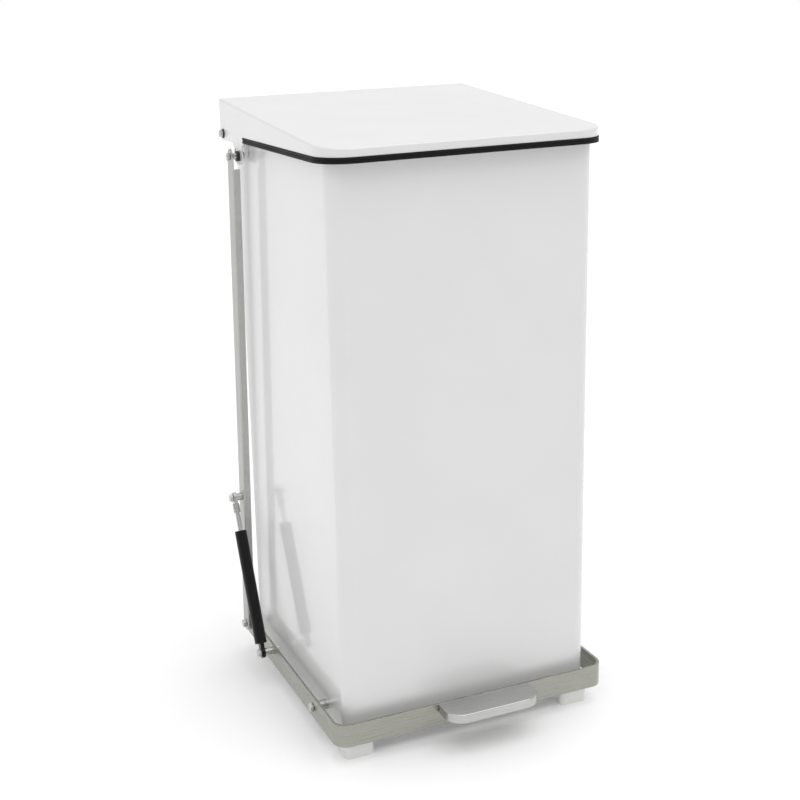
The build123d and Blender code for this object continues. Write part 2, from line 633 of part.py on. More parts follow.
def make_lift_rod():
    """An angle section, drawn upright on its lower pin and then leant to the lid's pin."""
    web = Plane.YZ.offset(-WEB_OUT_X) * Pos(0, ROD_LENGTH / 2) * Rot(0, 0, 90)
    web = extrude(web * SlotCenterToCenter(ROD_LENGTH, ROD_WEB), amount=ROD_SHEET)
    edge = -ROD_WEB / 2
    top = ROD_LENGTH - ROD_FLANGE_STOP
    flange = block(-WEB_OUT_X, -WEB_OUT_X + ROD_FLANGE, edge, edge + ROD_SHEET, ROD_FLANGE_START, top)
    rod = web + flange
    rod = fillet(
        [e for e in rod.edges().filter_by(Axis.Z) if abs(e.center().Y - edge) < 0.1 and e.center().X < -WEB_OUT_X + 0.1],
        ROD_SHEET * 0.8,
    )
    rod -= bar_x(LEFT, 0, 0, SHOULDER_RADIUS + RUNNING, WEB_IN_X - 1, WEB_OUT_X + 1)
    rod -= bar_x(LEFT, 0, DAMPER_HIGH_ALONG_ROD, M6_RADIUS, WEB_IN_X - 1, WEB_OUT_X + 1)
    rod -= bar_x(LEFT, 0, ROD_LENGTH, M5_RADIUS, WEB_IN_X - 1, WEB_OUT_X + 1)
    return Pos(0, LEVER_END_Y, STRAP_MID) * Rot(ROD_LEAN, 0, 0) * rod


def make_lower_bolt():
    """The lever's shoulder bolt, on which the lift rod's lower end turns."""
    head = WEB_OUT_X + RIM_CLEARANCE
    tail = STRAP_IN_X - M6_NUT
    bolt = hexagon_x(LEFT, LEVER_END_Y, STRAP_MID, M6_FLATS, head, head + M6_HEAD)
    bolt += bar_x(LEFT, LEVER_END_Y, STRAP_MID, SHOULDER_RADIUS, STRAP_OUT_X, head)
    return bolt + bar_x(LEFT, LEVER_END_Y, STRAP_MID, M6_RADIUS, tail, STRAP_OUT_X)


def make_lower_spacer():
    end = WEB_IN_X - SIDE_PLAY
    return sleeve_x(LEFT, LEVER_END_Y, STRAP_MID, SPACER_RADIUS, SHOULDER_RADIUS, STRAP_OUT_X, end)


def strap_nut(y, z):
    return nut_x(LEFT, y, z, M6_FLATS, M6_RADIUS, STRAP_IN_X - M6_NUT, STRAP_IN_X)


UPPER_OUTER_COLLAR = LID_X + SIDE_PLAY
UPPER_INNER_WASHER = LID_X - LID_SHEET - SIDE_PLAY
UPPER_NUT_END = UPPER_INNER_WASHER - WASHER_THICKNESS - M5_NUT


def make_upper_bolt():
    """The bolt through the lift rod's top, whose shank lies in the slot of the lid's tab."""
    bolt = hexagon_x(LEFT, EAR_PIN_Y, EAR_PIN_Z, M5_FLATS, WEB_OUT_X, WEB_OUT_X + PIN_HEAD)
    return bolt + bar_x(LEFT, EAR_PIN_Y, EAR_PIN_Z, M5_RADIUS, UPPER_NUT_END, WEB_OUT_X)


def make_upper_spacer():
    inner = UPPER_OUTER_COLLAR + COLLAR_THICKNESS
    return sleeve_x(LEFT, EAR_PIN_Y, EAR_PIN_Z, UPPER_SPACER_RADIUS, M5_RADIUS, inner, WEB_IN_X)


def make_upper_washers():
    """A plastic collar outside the lid's tab and a thin washer inside it."""
    washers = []
    for inner, thickness in (
        (UPPER_OUTER_COLLAR, COLLAR_THICKNESS),
        (UPPER_INNER_WASHER - WASHER_THICKNESS, WASHER_THICKNESS),
    ):
        outer = inner + thickness
        washers.append(sleeve_x(LEFT, EAR_PIN_Y, EAR_PIN_Z, WASHER_RADIUS, M5_RADIUS, inner, outer))
    return washers


def make_upper_nut():
    inner = UPPER_NUT_END
    return nut_x(LEFT, EAR_PIN_Y, EAR_PIN_Z, M5_FLATS, M5_RADIUS, inner, inner + M5_NUT)


DAMPER_SPACER_END = DAMPER_X - DAMPER_EYE_WIDTH / 2 - SIDE_PLAY


def make_damper_stud(y, z, tail):
    bolt = hexagon_x(LEFT, y, z, M6_FLATS, DAMPER_STUD_HEAD_X, DAMPER_STUD_HEAD_X + M6_HEAD)
    return bolt + bar_x(LEFT, y, z, M6_RADIUS, tail, DAMPER_STUD_HEAD_X)


def make_damper_spacer(y, z, seat):
    return sleeve_x(LEFT, y, z, THIN_SPACER_RADIUS, M6_RADIUS, seat, DAMPER_SPACER_END)


def place_damper(shape):
    """Leans a damper piece, drawn upright over its lower stud, into its working line."""
    return Pos(-DAMPER_X, DAMPER_LOW_Y, DAMPER_LOW_Z) * Rot(DAMPER_LEAN, 0, 0) * shape


def upright(radius, z0, z1):
    return Pos(0, 0, (z0 + z1) / 2) * Cylinder(radius, z1 - z0)


DAMPER_TUBE_END = DAMPER_TUBE_START + DAMPER_TUBE_LENGTH


def make_damper_tube():
    tube = upright(DAMPER_TUBE_RADIUS, DAMPER_TUBE_START, DAMPER_TUBE_END)
    tube = fillet(tube.edges().filter_by(GeomType.CIRCLE), DAMPER_TUBE_RADIUS / 7)
    tube -= upright(DAMPER_TUBE_BORE, DAMPER_TUBE_START + DAMPER_CAP, DAMPER_TUBE_END + 1)
    return place_damper(tube)


def make_damper_gland():
    gland = upright(DAMPER_TUBE_BORE, DAMPER_TUBE_END - DAMPER_GLAND_LENGTH, DAMPER_TUBE_END)
    gland -= upright(DAMPER_ROD_RADIUS + SLIDING, DAMPER_TUBE_START, DAMPER_TUBE_END + 1)
    return place_damper(gland)


def eye_at(height, bore, reach):
    """A flat eye across the damper's line, with a tail that reaches towards its other end."""
    eye = Pos(0, 0, height) * Rot(0, 90, 0) * Cylinder(DAMPER_EYE_RADIUS, DAMPER_EYE_WIDTH)
    half = DAMPER_EYE_WIDTH / 2
    tail = block(-half, half, -DAMPER_NECK_RADIUS, DAMPER_NECK_RADIUS, height, height + reach)
    return eye + tail, Pos(0, 0, height) * Rot(0, 90, 0) * Cylinder(bore, DAMPER_EYE_WIDTH + 2)


def make_lower_eye():
    eye, bore = eye_at(0, M6_RADIUS + RUNNING, DAMPER_TUBE_START)
    return place_damper(eye - bore)


def make_upper_eye():
    """A ferrule on the rod's end, flattened into an eye."""
    eye, bore = eye_at(DAMPER_LENGTH, M6_RADIUS + OPEN_PIVOT, -DAMPER_SLEEVE_END - 1)
    sleeve = upright(DAMPER_SLEEVE_RADIUS, DAMPER_LENGTH - DAMPER_SLEEVE_START, DAMPER_LENGTH - DAMPER_SLEEVE_END)
    sleeve = fillet(sleeve.edges().filter_by(GeomType.CIRCLE), DAMPER_SLEEVE_RADIUS / 5)
    return place_damper(sleeve + eye - bore)


def make_damper_rod():
    top = DAMPER_LENGTH - DAMPER_SLEEVE_START
    return place_damper(upright(DAMPER_ROD_RADIUS, DAMPER_PISTON_HEIGHT, top))


def make_damper_piston():
    piston = upright(DAMPER_TUBE_BORE - SLIDING, DAMPER_PISTON_HEIGHT, DAMPER_PISTON_HEIGHT + DAMPER_PISTON_LENGTH)
    piston -= upright(DAMPER_ROD_RADIUS, 0, DAMPER_LENGTH)
    return place_damper(piston)


def main():
    os.makedirs("parts", exist_ok=True)
    write("body_shell", make_body_shell())
    write("base_pan", make_base_pan())
    for end_name, end in (("front", -1), ("rear", 1)):
        for side_name, side in (("left", LEFT), ("right", RIGHT)):
            write(f"foot_{end_name}_{side_name}", make_foot(side, end))
    write("liner", make_liner())
    write("bracket_bolts", *make_bracket_bolts())
    write("bracket_nuts", *make_bracket_nuts())
    for name, side in (("left", LEFT), ("right", RIGHT)):
        write(f"hinge_bracket_{name}", make_hinge_bracket(side))
        write(f"hinge_bolt_{name}", make_hinge_bolt(side))
        write(f"hinge_spacer_{name}", make_hinge_spacer(side))
        write(f"hinge_nut_{name}", make_hinge_nut(side))
        write(f"lid_bush_{name}", make_hinge_bush(side))
        write(f"lever_pivot_bolt_{name}", make_pivot_bolt(side))
        write(f"lever_pivot_spacer_{name}", make_pivot_spacer(side))
        write(f"lever_pivot_nut_{name}", make_pivot_nut(side))
    write("lid_shell", make_lid_shell())
    write("lid_gasket", make_lid_gasket())
    write("pedal_lever", make_pedal_lever())
    write("pedal_plate", make_pedal_plate())
    write("pedal_bracket", make_pedal_bracket())
    write("pedal_studs", *make_pedal_studs())
    write("pedal_nuts", *make_pedal_nuts())
    write("lift_rod", make_lift_rod())
    write("lift_bolt_lower", make_lower_bolt())
    write("lift_spacer_lower", make_lower_spacer())
    write("lift_nut_lower", strap_nut(LEVER_END_Y, STRAP_MID))
    write("lift_bolt_upper", make_upper_bolt())
    write("lift_spacer_upper", make_upper_spacer())
    write("lift_washers_upper", *make_upper_washers())
    write("lift_nut_upper", make_upper_nut())
    write("damper_stud_lower", make_damper_stud(DAMPER_LOW_Y, DAMPER_LOW_Z, STRAP_IN_X - M6_NUT))
    write("damper_spacer_lower", make_damper_spacer(DAMPER_LOW_Y, DAMPER_LOW_Z, STRAP_OUT_X))
    write("damper_nut_lower", strap_nut(DAMPER_LOW_Y, DAMPER_LOW_Z))
    write("damper_stud_upper", make_damper_stud(DAMPER_HIGH_Y, DAMPER_HIGH_Z, WEB_IN_X - M6_NUT))
    write("damper_spacer_upper", make_damper_spacer(DAMPER_HIGH_Y, DAMPER_HIGH_Z, WEB_OUT_X))
    nut = nut_x(LEFT, DAMPER_HIGH_Y, DAMPER_HIGH_Z, M6_FLATS, M6_RADIUS, WEB_IN_X - M6_NUT, WEB_IN_X)
    write("damper_nut_upper", nut)
    write("damper_tube", make_damper_tube())
    write("damper_gland", make_damper_gland())
    write("damper_lower_eye", make_lower_eye())
    write("damper_rod", make_damper_rod())
    write("damper_piston", make_damper_piston())
    write("damper_upper_eye", make_upper_eye())


main()
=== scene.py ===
import math

import bmesh
import bpy
from bpy.props import FloatProperty, FloatVectorProperty, PointerProperty
from mathutils import Matrix, Vector

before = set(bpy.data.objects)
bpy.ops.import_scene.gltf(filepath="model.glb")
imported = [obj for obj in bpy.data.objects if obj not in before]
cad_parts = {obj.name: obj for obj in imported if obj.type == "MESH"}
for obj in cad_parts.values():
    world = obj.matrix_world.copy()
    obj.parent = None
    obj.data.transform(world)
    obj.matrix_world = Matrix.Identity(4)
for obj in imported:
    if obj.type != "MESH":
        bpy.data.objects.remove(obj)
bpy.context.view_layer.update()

bl_info = {
    "name": "Step-on Waste Receptacle",
    "version": (1, 0, 0),
    "blender": (4, 5, 0),
    "location": "View3D > Sidebar > Receptacle",
    "description": "Finishes a painted steel step-on waste receptacle and sets it on a studio floor",
    "category": "Object",
}

MM = 0.001


# ---------------------------------------------------------------- colour and node helpers


def linear(hex_colour):
    """An sRGB hex colour as linear RGBA."""
    channels = [int(hex_colour[i : i + 2], 16) / 255 for i in (1, 3, 5)]
    return tuple(c / 12.92 if c <= 0.04045 else ((c + 0.055) / 1.055) ** 2.4 for c in channels) + (1.0,)


def tones(*stops):
    """A colour ramp's stops, from positions and hex colours."""
    return tuple((position, linear(colour)) for position, colour in stops)


def per_metre(width_mm):
    """The texture scale that makes one feature of a pattern this wide."""
    return 1 / (width_mm * MM)


def add_node(tree, kind, settings=None, stops=(), **inputs):
    """Adds a node, sets its attributes and ramp stops, and fills its inputs with values or other nodes' outputs."""
    node = tree.nodes.new(kind)
    for key, value in (settings or {}).items():
        setattr(node, key, value)
    if stops:
        elements = node.color_ramp.elements
        while len(elements) < len(stops):
            elements.new(0.5)
        for element, (position, colour) in zip(elements, stops):
            element.position = position
            element.color = colour
    for key, value in inputs.items():
        socket = node.inputs[key.replace("_", " ")]
        if isinstance(value, bpy.types.NodeSocket):
            tree.links.new(value, socket)
        else:
            socket.default_value = value
    return node


def new_material(name):
    """A fresh material with its node tree, shader and the object's own coordinates."""
    material = bpy.data.materials.new(name)
    material.use_nodes = True
    tree = material.node_tree
    shader = tree.nodes["Principled BSDF"]
    coordinates = add_node(tree, "ShaderNodeTexCoord").outputs["Object"]
    return material, tree, shader, coordinates


def dress(tree, shader, tint, tint_stops, shine, roughness, relief=None, **uniform):
    """Colours a shader by one pattern, varies its roughness by another and can raise a third in relief.

    The roughness is a pair, the smoothest and the dullest. The relief is a pattern, its strength and its depth in mm.
    Any other value goes straight on the shader's socket.
    """
    smoothest, dullest = roughness
    colour = add_node(tree, "ShaderNodeValToRGB", stops=tint_stops, Fac=tint)
    rough = add_node(tree, "ShaderNodeMapRange", Value=shine, To_Min=smoothest, To_Max=dullest)
    tree.links.new(colour.outputs["Color"], shader.inputs["Base Color"])
    tree.links.new(rough.outputs["Result"], shader.inputs["Roughness"])
    if relief:
        height, strength, depth_mm = relief
        bump = add_node(tree, "ShaderNodeBump", Strength=strength, Distance=depth_mm * MM, Height=height)
        tree.links.new(bump.outputs["Normal"], shader.inputs["Normal"])
    for key, value in uniform.items():
        shader.inputs[key.replace("_", " ")].default_value = value


# ---------------------------------------------------------------- the finishes' values

# Tones: positions in a pattern's value, and the colours there.
DARK_SPOT = 0.3
LIGHT_SPOT = 0.7
FOOT_TONES = tones((DARK_SPOT, "#E6E6E4"), (LIGHT_SPOT, "#EBEBE9"))
# The strip's tones are darker than the stainless is: painted shade, for the shadowed floor that its front reflects.
SHADED_STRIP_TONES = tones((DARK_SPOT, "#97978F"), (LIGHT_SPOT, "#ADADA6"))
ROD_TONES = tones((DARK_SPOT, "#A8A8A6"), (LIGHT_SPOT, "#BDBDBB"))
# The plate's tones are lighter than the stainless is: painted light, for the bright wall that its top reflects.
LIT_PLATE_TONES = tones((DARK_SPOT, "#B4B4B2"), (LIGHT_SPOT, "#C8C8C6"))
ZINC_TONES = tones((DARK_SPOT, "#A9A9A6"), (0.55, "#C6C7C5"), (0.75, "#D6D6D2"))
CHROME_TONES = tones((DARK_SPOT, "#C3C4C5"), (LIGHT_SPOT, "#D7D8D8"))
RUBBER_TONES = tones((0.35, "#050505"), (LIGHT_SPOT, "#0B0B0B"))
TUBE_TONES = tones((DARK_SPOT, "#030303"), (LIGHT_SPOT, "#070707"))
NYLON_TONES = tones((DARK_SPOT, "#1B1B1B"), (LIGHT_SPOT, "#262626"))
SPANGLE_TONES = tones((0.1, "#8F9393"), (0.5, "#A9ACAC"), (0.9, "#BDBFBE"))
TABLE_TONES = tones((DARK_SPOT, "#F3F3F3"), (LIGHT_SPOT, "#F6F6F6"))

# Pattern widths in mm. The finest grains are drawn a few times coarser than real, so that they show.
ENAMEL_CLOUD = 111.1
STAINLESS_CLOUD = 71.43
ZINC_PATCH = 2.381
CHROME_RING_PITCH = 0.4
CHROME_RING_LENGTH = 16.667
RUBBER_BLOOM = 45.45
RUBBER_GRAIN = 0.625
TUBE_GRAIN = 1.111
NYLON_GRAIN = 0.7692
TABLE_HAZE = 2.0

# Relief: its strength, and its depth in mm.
ORANGE_PEEL_RELIEF = (0.035, 0.3)
BRUSHED_RELIEF = (0.12, 0.1)
ZINC_RELIEF = (0.05, 0.1)
RUBBER_RELIEF = (0.15, 0.1)
TUBE_RELIEF = (0.06, 0.1)
NYLON_RELIEF = (0.1, 0.1)

# Roughness from the smoothest spots to the dullest.
ZINC_ROUGHNESS = (0.2, 0.38)
CHROME_ROUGHNESS = (0.1, 0.2)
RUBBER_ROUGHNESS = (0.5, 0.68)
TUBE_ROUGHNESS = (0.26, 0.34)
NYLON_ROUGHNESS = (0.4, 0.55)
SPANGLE_ROUGHNESS = (0.34, 0.55)

# Even roughness, and how far the enamel and the stainless stray from theirs to either side.
FOOT_ROUGHNESS = 0.42
STRIP_ROUGHNESS = 0.27
ROD_ROUGHNESS = 0.3
PLATE_ROUGHNESS = 0.24
TABLE_ROUGHNESS = 0.9
ENAMEL_SMOOTHER, ENAMEL_DULLER = 0.03, 0.04
BRUSHED_SMOOTHER, BRUSHED_DULLER = 0.07, 0.09

# Brushing: the pattern's scale along X, Y and Z, small where a line runs on. The highlight's turn is a part of a full
# turn, and the cloud's share is how much of the tone comes from broad clouds and not from the lines.
LINE_STRETCH = 0.01
BRUSHED_LEVEL = (LINE_STRETCH, LINE_STRETCH, 1.0)
BRUSHED_UPRIGHT = (1.0, 1.0, LINE_STRETCH)
BRUSHED_ACROSS = (LINE_STRETCH, 1.0, 1.0)
NO_TURN = 0.0
QUARTER_TURN = 0.25
CLOUD_SHARE = 0.25


# ---------------------------------------------------------------- materials


def enamelled_steel(name, tint_stops, orange_peel_mm, roughness):
    """Baked white enamel on pressed sheet: smooth and softly glossy, with a faint orange peel in its shine."""
    material, tree, shader, co = new_material(name)
    peel = add_node(tree, "ShaderNodeTexNoise", Vector=co, Scale=per_metre(orange_peel_mm), Detail=2.0, Roughness=0.45)
    cloud = add_node(tree, "ShaderNodeTexNoise", Vector=co, Scale=per_metre(ENAMEL_CLOUD), Detail=2.0).outputs["Fac"]
    spread = (roughness - ENAMEL_SMOOTHER, roughness + ENAMEL_DULLER)
    relief = (peel.outputs["Fac"], *ORANGE_PEEL_RELIEF)
    dress(tree, shader, cloud, tint_stops, cloud, spread, relief, IOR=1.5, Coat_Weight=0.6, Coat_Roughness=0.04)
    return material


def brushed_stainless(name, tint_stops, stretch, line_mm, roughness, turn):
    """Stainless finished with a belt: fine lines that draw every highlight out across them."""
    material, tree, shader, co = new_material(name)
    scale = tuple(per_metre(line_mm) * along for along in stretch)
    lines = add_node(tree, "ShaderNodeMapping", Vector=co, Scale=scale).outputs["Vector"]
    grain = add_node(tree, "ShaderNodeTexNoise", Vector=lines, Scale=1.0, Detail=3.0, Roughness=0.6).outputs["Fac"]
    cloud = add_node(tree, "ShaderNodeTexNoise", Vector=co, Scale=per_metre(STAINLESS_CLOUD), Detail=3.0)
    mixed = add_node(
        tree, "ShaderNodeMix", {"data_type": "FLOAT"}, Factor=CLOUD_SHARE, A=grain, B=cloud.outputs["Fac"]
    )
    spread = (roughness - BRUSHED_SMOOTHER, roughness + BRUSHED_DULLER)
    relief = (grain, *BRUSHED_RELIEF)
    metal = {"Metallic": 1.0, "Anisotropic": 0.75, "Anisotropic_Rotation": turn}
    dress(tree, shader, mixed.outputs["Result"], tint_stops, grain, spread, relief, **metal)
    around = add_node(tree, "ShaderNodeTangent", {"direction_type": "RADIAL", "axis": "Z"})
    tree.links.new(around.outputs["Tangent"], shader.inputs["Tangent"])
    return material


def zinc_plated(name):
    """Bright zinc plate on turned and headed steel: pale, cool, slightly patchy."""
    material, tree, shader, co = new_material(name)
    noise = add_node(tree, "ShaderNodeTexNoise", Vector=co, Scale=per_metre(ZINC_PATCH), Detail=3.0, Roughness=0.6)
    patch = noise.outputs["Fac"]
    dress(tree, shader, patch, ZINC_TONES, patch, ZINC_ROUGHNESS, (patch, *ZINC_RELIEF), Metallic=1.0)
    return material


def chromed_rod(name):
    """Hard chrome on a ground rod: near mirror, with the faintest rings of grinding."""
    material, tree, shader, co = new_material(name)
    around = per_metre(CHROME_RING_LENGTH)
    scale = (around, around, per_metre(CHROME_RING_PITCH))
    stretched = add_node(tree, "ShaderNodeMapping", Vector=co, Scale=scale).outputs["Vector"]
    rings = add_node(tree, "ShaderNodeTexNoise", Vector=stretched, Scale=1.0, Detail=2.0).outputs["Fac"]
    dress(tree, shader, rings, CHROME_TONES, rings, CHROME_ROUGHNESS, Metallic=1.0)
    return material


def black_rubber(name):
    """Extruded EPDM rubber: deep matt black with a slight bloom and a fine grain."""
    material, tree, shader, co = new_material(name)
    grain = add_node(tree, "ShaderNodeTexNoise", Vector=co, Scale=per_metre(RUBBER_GRAIN), Detail=2.0)
    bloom = add_node(tree, "ShaderNodeTexNoise", Vector=co, Scale=per_metre(RUBBER_BLOOM), Detail=3.0).outputs["Fac"]
    relief = (grain.outputs["Fac"], *RUBBER_RELIEF)
    dress(tree, shader, bloom, RUBBER_TONES, bloom, RUBBER_ROUGHNESS, relief, IOR=1.52, Specular_IOR_Level=0.25)
    return material


def black_satin_paint(name):
    """Satin black stove paint on a drawn tube: dark, with a soft long highlight."""
    material, tree, shader, co = new_material(name)
    grain = add_node(tree, "ShaderNodeTexNoise", Vector=co, Scale=per_metre(TUBE_GRAIN), Detail=2.0).outputs["Fac"]
    dress(tree, shader, grain, TUBE_TONES, grain, TUBE_ROUGHNESS, (grain, *TUBE_RELIEF), Specular_IOR_Level=0.3)
    return material


def black_nylon(name):
    """Moulded black nylon: dark and slightly sheeny, with a fine moulded texture."""
    material, tree, shader, co = new_material(name)
    grain = add_node(tree, "ShaderNodeTexNoise", Vector=co, Scale=per_metre(NYLON_GRAIN), Detail=1.0).outputs["Fac"]
    dress(tree, shader, grain, NYLON_TONES, grain, NYLON_ROUGHNESS, (grain, *NYLON_RELIEF), IOR=1.53)
    return material


def galvanised_sheet(name, spangle_mm):
    """Hot-dip galvanised sheet: grey, broken into large frosty spangles."""
    material, tree, shader, co = new_material(name)
    cells = add_node(tree, "ShaderNodeTexVoronoi", Vector=co, Scale=per_metre(spangle_mm)).outputs["Color"]
    dress(tree, shader, cells, SPANGLE_TONES, cells, SPANGLE_ROUGHNESS, Metallic=1.0)
    return material


def floor_with_painted_glow(name, glow):
    """White matt floor that glows faintly of itself: painted light, which keeps the shadows on it short."""
    material, tree, shader, co = new_material(name)
    haze = add_node(tree, "ShaderNodeTexNoise", Vector=co, Scale=per_metre(TABLE_HAZE), Detail=2.0)
    tint = add_node(tree, "ShaderNodeValToRGB", stops=TABLE_TONES, Fac=haze.outputs["Fac"])
    tree.links.new(tint.outputs["Color"], shader.inputs["Base Color"])
    shader.inputs["Roughness"].default_value = TABLE_ROUGHNESS
    shader.inputs["Specular IOR Level"].default_value = 0.1
    # Painted light: the floor emits a faint glow that shortens the shadows on it.
    shader.inputs["Emission Color"].default_value = linear("#FFFFFF")
    shader.inputs["Emission Strength"].default_value = glow
    return material


# ---------------------------------------------------------------- settings a user would change


class ReceptacleFinish(bpy.types.PropertyGroup):
    """The finishes' colours and sizes."""

    enamel_shade: FloatVectorProperty(
        name="Enamel shade",
        description="The white enamel where it is faintly darker",
        default=linear("#DFDFDF")[:3],
        min=0.0,
        max=1.0,
        subtype="COLOR",
    )
    enamel_light: FloatVectorProperty(
        name="Enamel light",
        description="The white enamel where it is faintly lighter",
        default=linear("#E2E2E2")[:3],
        min=0.0,
        max=1.0,
        subtype="COLOR",
    )
    orange_peel: FloatProperty(name="Orange peel", description="Width of one dimple in the enamel, in mm", default=2.4)
    enamel_roughness: FloatProperty(
        name="Enamel roughness", description="How dull the enamel is", default=0.24, min=0.0, max=1.0, subtype="FACTOR"
    )
    # A real belt leaves lines of about 0.1 mm. They are drawn coarser, so that they show.
    brush_line: FloatProperty(
        name="Brush line", description="Width of one brushing line in the stainless, in mm", default=0.45
    )
    spangle: FloatProperty(name="Spangle", description="Width of one zinc spangle in the liner, in mm", default=9.0)


class ReceptacleStage(bpy.types.PropertyGroup):
    """The studio's light and camera."""

    camera_at: FloatVectorProperty(
        name="Camera place", description="Where the camera stands", default=(-0.6659, -1.44042, 0.88304), unit="LENGTH"
    )
    camera_azimuth: FloatProperty(
        name="Azimuth", description="How far left of the front it stands", default=math.radians(20.87), unit="ROTATION"
    )
    camera_elevation: FloatProperty(
        name="Elevation", description="How far it looks down", default=math.radians(15.15), unit="ROTATION"
    )
    camera_roll: FloatProperty(
        name="Roll", description="How far it leans", default=math.radians(-2.09), unit="ROTATION"
    )
    lens: FloatProperty(name="Lens", description="Focal length in mm", default=59.005)
    shift_x: FloatProperty(name="Shift across", description="Sideways lens shift", default=0.1)
    shift_y: FloatProperty(name="Shift up", description="Upward lens shift", default=-0.06)
    ceiling: FloatProperty(name="Ceiling", description="Brightness of the room overhead", default=0.85)
    front_wall: FloatProperty(name="Front wall", description="Brightness of the room behind the camera", default=0.37)
    back_wall: FloatProperty(name="Back wall", description="Brightness of the room behind the object", default=0.85)
    floor_reach: FloatProperty(
        name="Floor reach", description="How far the table runs each way", default=15.0, unit="LENGTH"
    )
    # The floor glow is painted light: the floor itself emits it, no lamp lights it from below.
    floor_glow: FloatProperty(name="Floor glow", description="How strongly the table is lit from below", default=0.07)
    overhead: FloatProperty(name="Overhead light", description="Strength of the broad overhead light", default=1.25)
    overhead_spread: FloatProperty(
        name="Overhead spread", description="How broad the overhead light is", default=math.radians(70), unit="ROTATION"
    )


# ---------------------------------------------------------------- operators for the pieces

# The words that mark a node as zinc plated.
PLATED = ("bolt", "nut", "spacer", "stud", "hinge_bracket", "damper_upper_eye")


def assign(material, *names):
    """Gives CAD nodes one finish."""
    for name in names:
        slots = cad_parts[name].data.materials
        slots.clear()
        slots.append(material)


class RECEPTACLE_OT_cabinet(bpy.types.Operator):
    """Finish the cabinet, its feet and the lid in white enamel"""

    bl_idname = "receptacle.cabinet"
    bl_label = "Cabinet and Lid"

    def execute(self, context):
        finish = context.scene.receptacle_finish
        enamel_tones = ((DARK_SPOT, (*finish.enamel_shade, 1.0)), (LIGHT_SPOT, (*finish.enamel_light, 1.0)))
        white = enamelled_steel("white_baked_enamel", enamel_tones, finish.orange_peel, finish.enamel_roughness)
        foot = enamelled_steel("white_foot_enamel", FOOT_TONES, finish.orange_peel, FOOT_ROUGHNESS)
        assign(white, "body_shell", "base_pan", "lid_shell")
        assign(foot, "foot_front_left", "foot_front_right", "foot_rear_left", "foot_rear_right")
        return {"FINISHED"}


class RECEPTACLE_OT_liner(bpy.types.Operator):
    """Finish the liner in galvanised sheet"""

    bl_idname = "receptacle.liner"
    bl_label = "Liner"

    def execute(self, context):
        assign(galvanised_sheet("galvanised_liner_sheet", context.scene.receptacle_finish.spangle), "liner")
        return {"FINISHED"}


class RECEPTACLE_OT_gasket(bpy.types.Operator):
    """Finish the lid's rubber gasket"""

    bl_idname = "receptacle.gasket"
    bl_label = "Gasket"

    def execute(self, context):
        assign(black_rubber("extruded_black_rubber"), "lid_gasket")
        return {"FINISHED"}


class RECEPTACLE_OT_lever(bpy.types.Operator):
    """Finish the foot lever, the foot plate and the lift rod in brushed stainless"""

    bl_idname = "receptacle.lever"
    bl_label = "Lever and Lift Rod"

    def execute(self, context):
        line = context.scene.receptacle_finish.brush_line
        # The strip is painted a shade darker than the stainless: painted shade.
        strip = brushed_stainless(
            "brushed_stainless_strip_painted_shade", SHADED_STRIP_TONES, BRUSHED_LEVEL, line, STRIP_ROUGHNESS, QUARTER_TURN
        )
        rod = brushed_stainless("brushed_stainless_angle", ROD_TONES, BRUSHED_UPRIGHT, line, ROD_ROUGHNESS, NO_TURN)
        # The plate is painted a shade lighter than the stainless: painted light.
        plate = brushed_stainless(
            "brushed_stainless_plate_painted_light", LIT_PLATE_TONES, BRUSHED_ACROSS, line, PLATE_ROUGHNESS, QUARTER_TURN
        )
        assign(strip, "pedal_lever", "pedal_bracket")
        assign(rod, "lift_rod")
        assign(plate, "pedal_plate")
        return {"FINISHED"}


class RECEPTACLE_OT_damper(bpy.types.Operator):
    """Finish the damper and the moulded bushes"""

    bl_idname = "receptacle.damper"
    bl_label = "Damper and Bushes"

    def execute(self, context):
        assign(black_satin_paint("black_stoved_tube"), "damper_tube", "damper_lower_eye", "damper_gland")
        assign(chromed_rod("hard_chromed_rod"), "damper_rod")
        nylon = black_nylon("black_moulded_nylon_and_painted_shade")
        # The upper lift washers take the black nylon as painted shade, for the shadow beside the ear; the bushes and
        # the piston are black nylon.
        assign(nylon, "lid_bush_left", "lid_bush_right", "damper_piston", "lift_washers_upper")
        return {"FINISHED"}


class RECEPTACLE_OT_fasteners(bpy.types.Operator):
    """Finish the fasteners and brackets in zinc plate"""

    bl_idname = "receptacle.fasteners"
    bl_label = "Fasteners"

    def execute(self, context):
        plated = [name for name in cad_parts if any(word in name for word in PLATED)]
        assign(zinc_plated("bright_zinc_plate"), *plated)
        return {"FINISHED"}


# ---------------------------------------------------------------- the studio

# Where the front wall ends and the back wall begins, as the Y of a direction.
FRONT_WALL_EDGE = -0.9
BACK_WALL_EDGE = 0.6
# Where the walls end and the ceiling begins, as the Z of a direction.
WALL_TOP = 0.1
CEILING_EDGE = 0.9
OVERHEAD_AIM = (-0.08, 0.24, -1.0)
SENSOR_WIDTH_MM = 36.0


